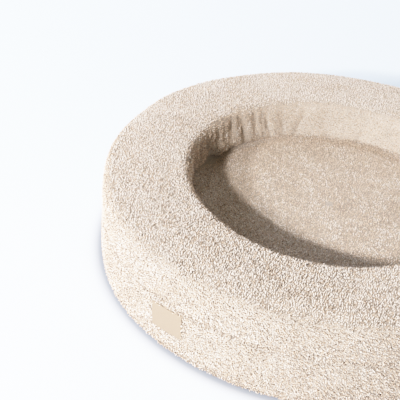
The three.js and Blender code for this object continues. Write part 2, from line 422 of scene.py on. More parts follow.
def move_ring(radius, height, azimuth):
    """Where foam and cloth really lie for points of the turned ring, as radius and height."""
    above = smoothstep(height, SEAM_HEIGHT + RIM_WAVES_START, BED_HEIGHT - WAVE_FULL)
    low = 1 - smoothstep(height, SEAM_HEIGHT + PIECE_GAP, BED_HEIGHT - RIM_INNER_ROUNDING)
    from_outer_corner = np.hypot(radius - BED_RADIUS, height - BED_HEIGHT)
    sunk = bumps_at(SLACK_CORNERS, azimuth) * bump(from_outer_corner / SLACK_REACH)
    from_inner_corner = np.hypot(radius - WELL_RADIUS - SWELL_INSET, height - BED_HEIGHT + SWELL_INSET)
    swollen = bumps_at(RIM_SWELLS, azimuth) * bump(from_inner_corner / SWELL_REACH)
    moved = radius + waves_at(WALL_WAVES, azimuth) * near_wall(radius) - sunk
    moved = moved + gather_push(radius, height, azimuth) - SWELL_INWARDS * swollen
    lifted = waves_at(RIM_WAVES, azimuth) * above - sunk + SWELL_UPWARDS * swollen
    return moved, height + lifted - belt_drop_at(moved, azimuth) * low


gathered = move_ring(WELL_RADIUS, SEAM_HEIGHT + RIM_INNER_ROUNDING, deepest[0])[0]
print("in the deepest gather the cloth lies", round((gathered - WELL_RADIUS) / MM, 1), "mm further out")

# %% [markdown]
# ## The base's profile
# The base is a plain round cushion. Its wall is the lower band of cloth, its floor is what the animal
# lies on, and a flat belt between them carries the ring. The floor swells towards its middle. At its edge
# it is sewn to the ring, which draws it down in a crease on the left. Elsewhere the cloth is full enough
# to hide the crease, so the edge is raised there. It is turned from a profile as the ring is, which keeps
# the two on the same circle.

# %% The base's stretches
CREASE_TUCK = 0.9 * MM
CREASE_FILL = 3.8 * MM
CREASE_WIDTH = 26 * MM
FLOOR_RISE = 4.5 * MM
FLOOR_SWELL = 6 * MM
PUCKER_REACH = 34 * MM
PUCKER_SHARE = 0.3
TUCK_REACH = 6 * MM
BELT_END = 8 * MM
FOOT_SPREAD = 8 * MM
TOP_STARTS = 3 * MM
FAN_RADIUS = 6 * MM


def base_profile():
    """The base's underside, wall, belt and floor, as paths at the cloth's ground."""
    outer = BED_RADIUS - PILE_HEIGHT
    shoulder = SEAM_HEIGHT - SEAM_ROUNDING
    floor_edge = WELL_RADIUS + PILE_HEIGHT
    underside = np.array([[FAN_RADIUS, 0], [outer - FLOOR_ROUNDING, 0]])
    wall_path = joined(
        arc(outer - FLOOR_ROUNDING, FLOOR_ROUNDING, FLOOR_ROUNDING, -90, 0),
        wall(FLOOR_ROUNDING, shoulder),
        arc(outer - SEAM_ROUNDING, shoulder, SEAM_ROUNDING, 0, 90),
    )
    ground = SEAM_HEIGHT - PILE_HEIGHT
    belt = np.array([wall_path[-1], [floor_edge + BELT_END, SEAM_HEIGHT]])
    well = np.array([belt[-1], [floor_edge, ground], [FAN_RADIUS, ground]])
    return {"underside": underside, "wall": wall_path, "belt": belt, "floor": well}


def floor_dents_at(x, y):
    """Shallow hollows and swellings of the floor."""
    return sum(
        rise * MM * bump(np.hypot(x - to_x * MM, y - to_y * MM) / (width * MM))
        for to_x, to_y, width, rise in FLOOR_DENTS
    )


def top_lift_at(radius, azimuth):
    """How far the base's top is lifted: less and less to the crease, and up again over the floor."""
    from_crease = smoothstep(WELL_RADIUS - radius, 0, CREASE_WIDTH)
    shows = crease_shows(azimuth)
    at_edge = smoothstep(WELL_RADIUS + TUCK_REACH - radius, 0, TUCK_REACH)
    tuck = np.where(shows > 0, CREASE_TUCK, CREASE_FILL) * shows * at_edge
    x = radius * np.cos(np.radians(azimuth))
    y = radius * np.sin(np.radians(azimuth))
    crown = np.sqrt(np.clip(1 - (radius / WELL_RADIUS) ** 2, 0, 1))
    beside_gathers = bump((WELL_RADIUS - radius) / PUCKER_REACH) * (radius < WELL_RADIUS)
    pucker = PUCKER_SHARE * gathers_at(azimuth, 0) * beside_gathers
    on_floor = FLOOR_RISE + FLOOR_SWELL * crown + floor_dents_at(x, y) + CREASE_HEIGHT - SEAM_HEIGHT
    at_crease = -belt_drop_at(radius, azimuth) - tuck
    return at_crease + (on_floor - at_crease) * from_crease - pucker


def move_base(radius, height, azimuth):
    """Where foam and cloth really lie for points of the turned base, as radius and height."""
    above_foot = smoothstep(height, -FOOT_SPREAD, FLOOR_ROUNDING)
    on_top = smoothstep(height, SEAM_HEIGHT / 2, SEAM_HEIGHT - TOP_STARTS)
    moved = radius + waves_at(WALL_WAVES, azimuth) * (near_wall(radius) * above_foot)
    return moved, height + top_lift_at(radius, azimuth) * on_top


BASE = base_profile()
print({name: round(length_of(path) / MM) for name, path in BASE.items()}, "mm of cloth across the base")

# %% [markdown]
# ## From a profile to a closed cushion
# A cushion is a grid of points, one column for each step round the bed and one row for each step along
# the profile. Each stretch says how many rows it needs: many where folds show, few where nothing does.
# Points in Cartesian axes then come from one function, which the pile uses as well, so that every curl
# stands exactly on the cloth.

# %% Grids of points
def in_space(radius, azimuth, height):
    """Points in Cartesian axes, from distances from the bed's axis, azimuths in degrees and heights."""
    angle = np.radians(azimuth)
    return np.stack([radius * np.cos(angle), radius * np.sin(angle), height], -1)


def points_on(path, move, azimuth, share):
    """Points in metres on a stretch of a cushion, at azimuths in degrees and shares of its length."""
    radius, height = move(*along(path, share), azimuth)
    return in_space(radius, azimuth, height)


def grid_points(stretches, move, columns):
    """Rows of points round the bed, for stretches given as (path, rows), each without its last point."""
    azimuth = np.arange(columns) * 360 / columns
    rows = [
        points_on(path, move, azimuth, np.full(columns, share))
        for path, count in stretches
        for share in np.arange(count) / count
    ]
    return np.array(rows)


def quads(rows, columns, closed):
    """The faces of a grid that is closed round the bed and, if asked, along the profile too."""
    row = np.arange(rows if closed else rows - 1)[:, None]
    column = np.arange(columns)[None, :]
    right = (column + 1) % columns
    above = (row + 1) % rows
    here, there = row * columns, above * columns
    return np.stack([here + column, here + right, there + right, there + column], -1).reshape(-1, 4)


def new_mesh_object(name, points, faces):
    """An object with smooth faces. Each array of faces holds corner numbers, with one face in a row."""
    mesh = bpy.data.meshes.new(name)
    counts = np.concatenate([np.full(len(part), part.shape[1]) for part in faces])
    corners = np.concatenate([part.ravel() for part in faces])
    mesh.vertices.add(len(points))
    mesh.vertices.foreach_set("co", np.asarray(points, np.float32).ravel())
    mesh.loops.add(len(corners))
    mesh.loops.foreach_set("vertex_index", corners.astype(np.int32))
    mesh.polygons.add(len(counts))
    mesh.polygons.foreach_set("loop_start", np.concatenate([[0], np.cumsum(counts)[:-1]]).astype(np.int32))
    mesh.polygons.foreach_set("use_smooth", np.ones(len(counts), bool))
    mesh.update(calc_edges=True)
    mesh.validate()
    made = bpy.data.objects.new(name, mesh)
    bpy.context.scene.collection.objects.link(made)
    return made


def triangles_of(piece):
    """How many triangles a piece has."""
    return sum(len(face.vertices) - 2 for face in piece.data.polygons)


sample = quads(2, 3, closed=False)
print("a grid of 2 rows and 3 columns has", len(sample), "faces, since it is closed round the bed")

# %% The ring cushion
RING_COLUMNS = 480
RING_ROWS = {"outside": 14, "top": 14, "inside": 28, "underside": 3}


def make_ring_cushion():
    """The ring as one closed form, finest where the gathers are."""
    rows = [(RING[name], count) for name, count in RING_ROWS.items()]
    points = grid_points(rows, move_ring, RING_COLUMNS)
    faces = quads(len(points), RING_COLUMNS, closed=True)
    return new_mesh_object("ring_cushion", points.reshape(-1, 3), [faces])


ring_cushion = make_ring_cushion()
print("ring cushion:", triangles_of(ring_cushion), "triangles")

# %% The base cushion
BASE_COLUMNS = 240
BASE_ROWS = {"underside": 3, "wall": 16, "belt": 3, "floor": 22}


def fan(centre, first, columns, upwards):
    """Triangles from a middle point to a ring of points."""
    column = np.arange(columns)
    right = (column + 1) % columns
    near, far = (column, right) if upwards else (right, column)
    return np.stack([np.full(columns, centre), first + near, first + far], 1)


def make_base_cushion():
    """The base as one closed form, with a fan at the middle of its floor and of its underside."""
    rows = [(BASE[name], count) for name, count in BASE_ROWS.items()]
    points = grid_points(rows, move_base, BASE_COLUMNS)
    count = len(points)
    points = points.reshape(-1, 3)
    last_ring = (count - 1) * BASE_COLUMNS
    under = [0, 0, 0]
    over = [0, 0, points[last_ring:, 2].mean()]
    points = np.concatenate([points, [under, over]])
    lower = fan(len(points) - 2, 0, BASE_COLUMNS, upwards=False)
    upper = fan(len(points) - 1, last_ring, BASE_COLUMNS, upwards=True)
    sides = quads(count, BASE_COLUMNS, closed=False)
    return new_mesh_object("base_cushion_form", points, [sides, lower, upper])


base_cushion = make_base_cushion()
print("base cushion:", triangles_of(base_cushion), "triangles")

# %% [markdown]
# ## The pile
# Each loop of the boucle yarn shows as a short fat curl, a few millimetres long, that rises from the
# cloth's ground, bends and goes back into it. Hair strands would be too thin for it, and they aren't
# carried over when the bed is exported. So a curl is a closed form, thick in the middle and pointed at
# both ends: one ring of three points and two tips, which makes six triangles. That is coarse for a single
# curl, but each covers only a pixel or two, and some 130 thousand of them lie over each other. Each has
# its own length, bend and turn. They are worked out in one go as arrays, which is far quicker than
# placing objects.

# %% The middle lines of curls
CURL_LENGTH = 3.2 * MM
CURL_THICKNESS = 2.1 * MM
CURL_SPACING = 2.22 * MM
CURL_STEPS = np.array([-0.5, 0.0, 0.5])
CURL_SIDES = 3
ROOT_DEPTH = 0.8 * MM
# How curls vary: shares of the length, degrees of bend, shares of the pile's height and mm of lean
LENGTH_SHARES = (0.75, 1.3)
BEND_DEGREES = (50, 230)
RISE_SHARES = (0.15, 0.9)
LEAN_MM = 0.6
ARCH_POWER = 2.5


def normalised(vectors):
    """The same directions with a length of 1."""
    return vectors / np.linalg.norm(vectors, axis=1, keepdims=True)


def curl_lines(rng, fluff):
    """The middle lines of curls from tip to tip, (count, 3, 3), in their own axes. Fluff is their size."""
    count = len(fluff)
    length = CURL_LENGTH * rng.uniform(*LENGTH_SHARES, count)
    bend = np.radians(rng.uniform(*BEND_DEGREES, count)) * rng.choice([-1, 1], count)
    angle = CURL_STEPS[None, :] * bend[:, None]
    across = length[:, None] * np.sin(angle) / bend[:, None]
    aside = length[:, None] * (1 - np.cos(angle)) / bend[:, None]
    rise = PILE_HEIGHT * rng.uniform(*RISE_SHARES, count) * fluff
    lean = rng.uniform(-LEAN_MM, LEAN_MM, count) * fluff * MM
    up = rise[:, None] * (1 - (2 * np.abs(CURL_STEPS)) ** ARCH_POWER) + lean[:, None] * CURL_STEPS
    up[:, [0, -1]] -= ROOT_DEPTH
    return np.stack([across, aside - aside.mean(1, keepdims=True), up], -1)


sample = curl_lines(np.random.default_rng(1), np.ones(1000))
print("a thousand curls rise", round(float(sample[:, 1, 2].mean()) / MM, 2), "mm at the middle on average")

# %% The forms and faces of curls
def curl_forms(lines, thickness):
    """Closed forms along the middle lines, thick in the middle: points (count, 5, 3) in the same axes."""
    tangent = lines[:, 2] - lines[:, 0]
    side = normalised(np.cross(tangent, [0.0, 0.0, 1.0]))
    crown = normalised(np.cross(side, tangent))
    ring = []
    for corner in range(CURL_SIDES):
        angle = 2 * math.pi * corner / CURL_SIDES + math.pi / 2
        reach = math.cos(angle) * side + math.sin(angle) * crown
        ring.append(lines[:, 1] + reach * 0.5 * thickness[:, None])
    return np.stack([lines[:, 0], *ring, lines[:, 2]], 1)


def curl_faces():
    """The triangles of one curl, numbered as curl_forms lays out its points."""
    faces = []
    for corner in range(CURL_SIDES):
        here, after = 1 + corner, 1 + (corner + 1) % CURL_SIDES
        faces.append((0, after, here))
        faces.append((1 + CURL_SIDES, here, after))
    return np.array(faces)


CURL_FACES = curl_faces()
print(len(CURL_FACES), "triangles in a curl")

# %% [markdown]
# ## Where the curls stand
# The places come from a jittered grid on a stretch of cloth, which spreads the curls evenly but not in
# rows. Each curl is turned at random in the plane of the cloth.
#
# Where the cloth is pressed into a fold, in a seam and under the label, the pile is flatter, and its yarn
# is painted darker as painted shade. A seam in such cloth is half buried, so it shows in some places and
# not in others, as its table says. Where the crease round the well's floor is hidden, the pile does the
# opposite: it is fuller there and closes the crease, and its yarn is painted lighter as painted light.

# %% Places and directions on the cloth
JITTER = 0.45


def scatter(rng, path, low, high):
    """A jittered grid of places on a stretch, as azimuths and shares. Rows lie as far apart as curls."""
    rows = max(2, round(length_of(path) * (high - low) / CURL_SPACING))
    azimuths, shares = [], []
    for row in range(rows):
        share = low + (high - low) * (row + 0.5) / rows
        radius = float(along(path, share)[0])
        count = max(3, round(2 * math.pi * radius / CURL_SPACING))
        jitter = rng.uniform(-JITTER, JITTER, (2, count))
        azimuths.append((np.arange(count) + jitter[0] + rng.uniform()) * 360 / count)
        shares.append(np.clip(share + jitter[1] * (high - low) / rows, low, high))
    return np.concatenate(azimuths), np.concatenate(shares)


def frames_on(path, move, azimuth, share):
    """Points on a stretch with two directions along the cloth and one out of it."""
    # Small steps along the cloth, in degrees and in shares of the stretch
    turn = 0.05
    step = 0.002
    here = points_on(path, move, azimuth, share)
    round_way = points_on(path, move, azimuth + turn, share) - points_on(path, move, azimuth - turn, share)
    up_way = points_on(path, move, azimuth, np.clip(share + step, 0, 1))
    up_way = up_way - points_on(path, move, azimuth, np.clip(share - step, 0, 1))
    out = normalised(np.cross(round_way, up_way))
    round_way = normalised(round_way)
    return here, round_way, np.cross(out, round_way), out


sample = scatter(np.random.default_rng(1), BASE["floor"], 0, 1)
print("the well's floor has room for", len(sample[0]), "curls")

# %% How deep in a fold a place is
LABEL_WIDTH = 51.5 * MM
LABEL_HEIGHT = 36 * MM
LABEL_MIDDLE = 48.5 * MM
LABEL_TILT = math.radians(5.1)
LABEL_AZIMUTH = -90
LABEL_EDGE = 1 * MM
# Degrees: place round the outer seam, half width, and how much more it shows there than elsewhere. Where it
# shows, the pile is flatter and painted darker as painted shade.
SEAM_SHOWS = [
    (-56, 34, 1.7),
    (-108, 16, 1.2),
    (10, 30, 0.5),
    (78, 44, 0.8),
    (160, 46, 0.7),
    (-150, 12, 0.4),
]
SEAM_BURIED = 0.15
SEAM_LINE = SEAM_HEIGHT - 1.2 * MM
SEAM_REACH = 2.8 * MM
WALL_SKIN = 8 * MM
CREASE_LINE = WELL_RADIUS + 2.5 * MM
CREASE_REACH = 5 * MM
DEEP_GATHER = 6 * MM


def on_wall(radius):
    """True at the outer wall."""
    return radius > BED_RADIUS - WALL_SKIN


def seam_at(radius, height, azimuth):
    """Above 0 at the outer seam, most where it shows, and 0 on open cloth."""
    shows = SEAM_BURIED + bumps_at(SEAM_SHOWS, azimuth, unit=1)
    return shows * bump((height - SEAM_LINE) / SEAM_REACH) * on_wall(radius)


def crease_at(radius, height, azimuth):
    """Above 0 in the crease round the well's floor where it shows, and below 0 where pile fills it."""
    near = bump(np.hypot(radius - CREASE_LINE, height - SEAM_HEIGHT) / CREASE_REACH)
    return crease_shows(azimuth) * near


def under_label(height, azimuth):
    """True where the label presses the pile down."""
    x = np.radians(turn_between(LABEL_AZIMUTH, azimuth)) * BED_RADIUS
    up = height - LABEL_MIDDLE
    across = x * math.cos(LABEL_TILT) + up * math.sin(LABEL_TILT)
    upward = up * math.cos(LABEL_TILT) - x * math.sin(LABEL_TILT)
    within_width = np.abs(across) < LABEL_WIDTH / 2 - LABEL_EDGE
    within_height = np.abs(upward) < LABEL_HEIGHT / 2 - LABEL_EDGE
    return within_width & within_height


def fold_in_ring(radius, height, azimuth):
    """Up to 1 in the ring's gathers, seam and crease, 0 on open cloth, below 0 in a filled crease."""
    gathered = np.clip(gather_push(radius, height, azimuth) / DEEP_GATHER, 0, 1)
    return np.clip(gathered + seam_at(radius, height, azimuth) + crease_at(radius, height, azimuth), -1, 1)


def fold_in_base(radius, height, azimuth):
    """The same for the base's crease, its seam and the place under the label."""
    labelled = under_label(height, azimuth) * on_wall(radius)
    return np.clip(crease_at(radius, height, azimuth) + seam_at(radius, height, azimuth) + labelled, -1, 1)


for side in (SEAM_SHOWS[0][0], SEAM_SHOWS[-1][0]):
    shown = fold_in_ring(BED_RADIUS, SEAM_LINE, side)
    print("at", side, "degrees the seam shows by", round(float(shown), 2), "of 1")

# %% [markdown]
# ## One mesh for each stretch
# All curls of a stretch are joined in one mesh, since so many objects would be slow. Only the ring's top,
# the largest stretch, is laid in two parts. Each point carries two numbers in a map: how light its curl's
# yarn is, with painted shade and light mixed in, and how high the point stands above the cloth's ground.
# The yarn's material turns them into a colour, so no two neighbours look the same, and the roots are
# painted darker than the crowns as painted shade.
#
# Boucle is never even. Its curls stand in small clumps, its tone drifts over a hand's width, and on this
# bed the pile is more open and livelier at the front right than at the back left. Sums of waves with
# random directions give the clumps and the drift.

# %% Clumps, drift and the curls' map
MAP_NAME = "OFBake"
CROWN_AT = np.array([0.0, 1.0, 0.45, 0.45, 0.0])
SIDE_AT = np.array([0.5, 0.5, 0.0, 1.0, 0.5])
TONE_WIDTH = 0.012
CLUMP_MM = (5, 13)
DRIFT_MM = (28, 80)


def cloudiness(points, rng, shortest, longest, waves=24):
    """Light and dark patches over the cloth, 0 on average and mostly from -2 to 2. Lengths are in mm."""
    total = np.zeros(len(points))
    for _ in range(waves):
        way = rng.normal(size=3)
        way *= 2 * math.pi / (rng.uniform(shortest, longest) * MM) / np.linalg.norm(way)
        total += np.sin(points @ way + rng.uniform(0, 2 * math.pi))
    return total / math.sqrt(waves / 2)


def paint_map(pile, tone):
    """Gives each corner its curl's tone and its own height as a place in the yarn's map."""
    per_curl = len(CROWN_AT)
    count = len(tone)
    across = tone[:, None] * (1 - TONE_WIDTH) + SIDE_AT[None, :] * TONE_WIDTH
    at_point = np.stack([across, np.broadcast_to(CROWN_AT, (count, per_curl))], -1).reshape(-1, 2)
    corner_point = np.empty(len(pile.data.loops), np.int32)
    pile.data.loops.foreach_get("vertex_index", corner_point)
    layer = pile.data.uv_layers.new(name=MAP_NAME)
    layer.uv.foreach_set("vector", at_point[corner_point].astype(np.float32).ravel())


spots = points_on(BASE["floor"], move_base, np.arange(360), np.full(360, 0.5))
patches = cloudiness(spots, np.random.default_rng(1), *DRIFT_MM)
print("patches on a ring of the floor swing from", round(patches.min(), 1), "to", round(patches.max(), 1))

# %% Make a stretch of pile
OPEN_AZIMUTH = math.radians(-50)
OPEN_SIDE = np.array([math.cos(OPEN_AZIMUTH), math.sin(OPEN_AZIMUTH), 0])
OPENNESS = 0.5
CLUMP_SWING = 0.14
SIZE_LIMITS = (0.6, 1.4)
FOLD_FLATTENS = 0.5
THICKNESS_SHARES = (0.8, 1.2)
LEAST_THICKNESS = 0.6
FLOOR_GAP = 0.2 * MM
# How the lightness of yarns varies, in parts of the map's width
YARN_LIFT = 0.3
YARN_FALL = 0.4
DRIFT_SWING = 0.07
# Painted shade on the yarn in folds, seams and open creases, and painted light where pile fills the crease
FOLD_PAINTED_SHADE = 0.75
FILLED_PAINTED_LIGHT = 0.4
TONE_LIMITS = (0.01, 0.99)


def shaped_curls(rng, folded, clumps, openness, fluff):
    """The forms of curls in their own axes, flatter in folds and larger where the pile is open."""
    clumped = np.clip(1 + CLUMP_SWING * clumps, *SIZE_LIMITS)
    size = fluff * np.sqrt(openness) * (1 - FOLD_FLATTENS * folded) * clumped
    lines = curl_lines(rng, size)
    plump = LEAST_THICKNESS + (1 - LEAST_THICKNESS) * size
    return curl_forms(lines, CURL_THICKNESS * rng.uniform(*THICKNESS_SHARES, len(size)) * plump)


def yarn_tones(rng, here, folded, clumps, openness, tone, mottle):
    """How light the yarn of each curl is: livelier where the pile is open, with painted shade in folds and
    painted light where pile fills the crease.
    """
    lively = YARN_LIFT - YARN_FALL * rng.exponential(size=len(here)) + mottle * clumps
    drift = DRIFT_SWING * cloudiness(here, rng, *DRIFT_MM)
    # Painted shade where the place is folded, and painted light where pile fills the crease
    shade = np.where(folded > 0, FOLD_PAINTED_SHADE, FILLED_PAINTED_LIGHT) * folded
    return np.clip(tone + openness * lively + (drift - shade), *TONE_LIMITS)


def make_pile(name, seed, path, move, fold_in, low=0.0, high=1.0, fluff=1.0, tone=0.6, mottle=0.1):
    """All curls of one stretch of cloth as one joined mesh."""
    rng = np.random.default_rng(seed)
    azimuth, share = scatter(rng, path, low, high)
    here, round_way, up_way, out = frames_on(path, move, azimuth, share)
    count = len(here)
    folded = fold_in(*along(path, share), azimuth)
    clumps = cloudiness(here, rng, *CLUMP_MM)
    openness = 1 + OPENNESS * here @ OPEN_SIDE / BED_RADIUS
    here = here + out * (PILE_HEIGHT * np.clip(-folded, 0, 1))[:, None]
    forms = shaped_curls(rng, folded, clumps, openness, fluff)
    turn = rng.uniform(0, 2 * math.pi, count)[:, None]
    first = np.cos(turn) * round_way + np.sin(turn) * up_way
    axes = np.stack([first, np.cross(out, first), out], 1)
    points = here[:, None, :] + np.einsum("nij,njk->nik", forms, axes)
    points[..., 2] = np.maximum(points[..., 2], FLOOR_GAP)
    faces = CURL_FACES[None] + (np.arange(count) * forms.shape[1])[:, None, None]
    pile = new_mesh_object(name, points.reshape(-1, 3), [faces.reshape(-1, 3)])
    paint_map(pile, yarn_tones(rng, here, folded, clumps, openness, tone, mottle))
    print(f"{name}: {count} curls, {triangles_of(pile)} triangles")
    return pile


# %% Lay the pile
TOP_SPLIT = 0.42


def ring_pile(name, stretch, seed, **choices):
    """Pile on a stretch of the ring."""
    return make_pile(name, seed, RING[stretch], move_ring, fold_in_ring, **choices)


def base_pile(name, stretch, seed, **choices):
    """Pile on a stretch of the base."""
    return make_pile(name, seed, BASE[stretch], move_base, fold_in_base, **choices)


# One yarn, but each stretch has its own tone: the ring's top is painted lightest, and the walls, the inside
# and the floor darker, as painted light and shade
pile_pieces = [
    ring_pile("pile_ring_outside", "outside", seed=11, low=0.03, tone=0.52),
    ring_pile("pile_ring_top_outer", "top", seed=12, high=TOP_SPLIT, fluff=0.92, tone=1.0),
    ring_pile("pile_ring_top_inner", "top", seed=16, low=TOP_SPLIT, fluff=0.92, tone=1.0),
    ring_pile("pile_ring_inside", "inside", seed=13, fluff=0.95, tone=0.48, mottle=0.22),
    base_pile("pile_base_wall", "wall", seed=14, low=0.02, high=0.975, tone=0.52),
    base_pile("pile_well_floor", "floor", seed=15, low=0.03, fluff=0.7, tone=0.61, mottle=0.14),
]
print(sum(triangles_of(piece) for piece in pile_pieces), "triangles of pile")

# %% [markdown]
# ## The label
# A small label of flat woven tape is sewn to the base's wall. It is bent to the wall and lies pressed
# into the pile, so the curls round it stand a little above its edge. A single sheet of faces would do
# from afar, but tape has a thickness that catches the light. So it is a fine grid of points with a front
# and a back sheet, which meet in a soft round edge.

# %% The label's form
LABEL_SINK = 0.9 * MM
LABEL_THICKNESS = 0.8 * MM
LABEL_COLUMNS = 44
LABEL_ROWS = 30


def label_points(across, up, out):
    """Points of the label, from places on the flat tape and distances out of the wall."""
    x = across * math.cos(LABEL_TILT) - up * math.sin(LABEL_TILT)
    height = LABEL_MIDDLE + across * math.sin(LABEL_TILT) + up * math.cos(LABEL_TILT)
    azimuth = LABEL_AZIMUTH + np.degrees(x / BED_RADIUS)
    radius = wall_radius(height, FLOOR_ROUNDING, SEAM_HEIGHT - SEAM_ROUNDING)
    radius = radius + waves_at(WALL_WAVES, azimuth) + out - LABEL_SINK
    return in_space(radius, azimuth, height)


def with_edges_merged(piece):
    """Joins points that lie in one place, so that a form made of two sheets is closed."""
    form = bmesh.new()
    form.from_mesh(piece.data)
    bmesh.ops.remove_doubles(form, verts=form.verts, dist=SAME_PLACE)
    form.to_mesh(piece.data)
    form.free()
    return piece


def make_label():
    """The tape as a thin closed slab with softly rounded edges."""
    across_steps = np.linspace(-0.5, 0.5, LABEL_COLUMNS + 1)
    up_steps = np.linspace(-0.5, 0.5, LABEL_ROWS + 1)
    across, up = np.meshgrid(across_steps, up_steps)
    edge = np.minimum((0.5 - np.abs(across)) * LABEL_WIDTH, (0.5 - np.abs(up)) * LABEL_HEIGHT)
    middle = 0.5 * LABEL_THICKNESS
    half = middle * np.sqrt(1 - (1 - edge / middle).clip(0, 1) ** 2)
    front = label_points(across * LABEL_WIDTH, up * LABEL_HEIGHT, middle + half)
    back = label_points(across * LABEL_WIDTH, up * LABEL_HEIGHT, middle - half)
    number = np.arange(across.size).reshape(across.shape)
    corner = [number[:-1, :-1], number[:-1, 1:], number[1:, 1:], number[1:, :-1]]
    face = np.stack(corner, -1).reshape(-1, 4)
    points = np.concatenate([front.reshape(-1, 3), back.reshape(-1, 3)])
    return with_edges_merged(new_mesh_object("sewn_label", points, [face, face[:, ::-1] + number.size]))


sewn_label = make_label()
print("label:", triangles_of(sewn_label), "triangles")

# %% [markdown]
# ## Materials
# The yarn is undyed cream, soft and matt. Its material reads the map that the curls carry: along the map
# the yarn goes from beige to nearly white, and up the map from the shaded root to the crown. A noise over
# the bed could tint the pile too, but it would cut across the curls, where real yarn keeps one colour
# along a curl and only gets less light at the root. So one ramp gives the yarn's colour and another the
# light at that height, and their product is what shows.

# %% Helpers for materials
CLOTH_ROUGHNESS = 0.95
CLOTH_GLOSS = 0.2


def shader_of(material):
    """The Principled shader of a material."""
    return material.node_tree.nodes["Principled BSDF"]


def new_material(name, colour, roughness=CLOTH_ROUGHNESS):
    """A material of one colour, hardly glossy."""
    made = bpy.data.materials.new(name)
    made.use_nodes = True
    shader_of(made).inputs["Base Color"].default_value = (*colour, 1)
    shader_of(made).inputs["Roughness"].default_value = roughness
    shader_of(made).inputs["Specular IOR Level"].default_value = CLOTH_GLOSS
    return made


def new_node(material, kind, **settings):
    """A node of a kind in a material, with its settings."""
    node = material.node_tree.nodes.new(kind)
    for key, value in settings.items():
        setattr(node, key, value)
    return node


def join(material, source, target):
    """A link from one socket to another."""
    material.node_tree.links.new(source, target)


def ramp(material, source, stops):
    """A colour ramp fed by a number, with stops given as (place, colour)."""
    node = new_node(material, "ShaderNodeValToRGB")
    elements = node.color_ramp.elements
    while len(elements) < len(stops):
        elements.new(0.5)
    for element, (place, colour) in zip(elements, stops):
        element.position = place
        element.color = (*colour, 1)
    join(material, source, node.inputs["Fac"])
    return node.outputs["Color"]


def multiplied(material, first, second):
    """The product of two colours."""
    node = new_node(material, "ShaderNodeMix", data_type="RGBA", blend_type="MULTIPLY")
    node.inputs["Factor"].default_value = 1
    join(material, first, node.inputs["A"])
    join(material, second, node.inputs["B"])
    return node.outputs["Result"]


def nodes_in(material):
    """A line that says how many nodes a material has."""
    return f"{material.name} has {len(material.node_tree.nodes)} nodes"


print("the frame came with", len(bpy.data.materials), "materials of its own")

# %% The yarn of the pile
YARN_SHADES = [
    (0.0, (0.34, 0.26, 0.20)),
    (0.35, (0.62, 0.45, 0.32)),
    (0.7, (0.80, 0.605, 0.45)),
    (1.0, (0.95, 0.825, 0.72)),
]
# Painted shade: the roots of the curls are darker than their crowns
ROOT_SHADES = [(0.0, (0.14, 0.14, 0.14)), (0.45, (0.53, 0.53, 0.53)), (1.0, (1, 1, 1))]


def make_pile_yarn():
    """Cream yarn whose tone and root shade come from the curls' map."""
    made = new_material("pile_yarn", (0.72, 0.64, 0.55))
    place = new_node(made, "ShaderNodeUVMap", uv_map=MAP_NAME)
    parts = new_node(made, "ShaderNodeSeparateXYZ")
    join(made, place.outputs["UV"], parts.inputs["Vector"])
    tone = ramp(made, parts.outputs["X"], YARN_SHADES)
    root = ramp(made, parts.outputs["Y"], ROOT_SHADES)
    join(made, multiplied(made, tone, root), shader_of(made).inputs["Base Color"])
    return made


pile_yarn = make_pile_yarn()
print(nodes_in(pile_yarn))

# %% [markdown]
# The ground of the cloth shows in the gaps between curls. It is knitted from the same yarn, so it is beige
# with a fine grain, and its colour is painted darker than the curls, as painted shade for the gaps that
# they shade. It hardly shows, so one fine noise is enough for both its colour and its bumps.

# %% The cloth's ground
# Painted darker than the curls' yarn, as painted shade in the gaps between them
GROUND_SHADES = [(0.3, (0.19, 0.16, 0.13)), (0.7, (0.43, 0.37, 0.31))]
GROUND_LUMPS = 900
GROUND_BUMPS = 0.8 * MM


def noise(material, scale, detail=2.0):
    """A noise over the piece, in its own metres. Scale is in lumps for each metre."""
    place = new_node(material, "ShaderNodeTexCoord")
    node = new_node(material, "ShaderNodeTexNoise")
    node.inputs["Scale"].default_value = scale
    node.inputs["Detail"].default_value = detail
    join(material, place.outputs["Object"], node.inputs["Vector"])
    return node.outputs["Fac"]


def raise_bumps(material, source, height):
    """Bumps of a height in metres where a number is high."""
    node = new_node(material, "ShaderNodeBump")
    node.inputs["Distance"].default_value = height
    node.inputs["Strength"].default_value = 1
    join(material, source, node.inputs["Height"])
    join(material, node.outputs["Normal"], shader_of(material).inputs["Normal"])


def make_ground_cloth():
    """The knitted ground between the curls."""
    made = new_material("ground_cloth", (0.42, 0.35, 0.28))
    grain = noise(made, GROUND_LUMPS)
    join(made, ramp(made, grain, GROUND_SHADES), shader_of(made).inputs["Base Color"])
    raise_bumps(made, grain, GROUND_BUMPS)
    return made


ground_cloth = make_ground_cloth()
print(nodes_in(ground_cloth))

# %% [markdown]
# The label is a tape in plain weave, and so is the cloth under the bed, where no pile is needed. A weave
# is two sets of fine ribs that cross, here two waves of bands. Their product gives both the colour and
# the bumps. The tape's threads are finer than those of the cloth.

# %% Plain weave
TAPE_SHADES = [(0.0, (0.19, 0.136, 0.090)), (1.0, (0.27, 0.196, 0.130))]
UNDERSIDE_SHADES = [(0.0, (0.22, 0.18, 0.14)), (1.0, (0.50, 0.44, 0.36))]
TAPE_PITCH = 0.9 * MM
UNDERSIDE_PITCH = 1.6 * MM
THREAD_UNEVENNESS = 0.6
THREAD_HEIGHT = 0.25
BANDS_IN_A_METRE = 20 / (2 * math.pi)


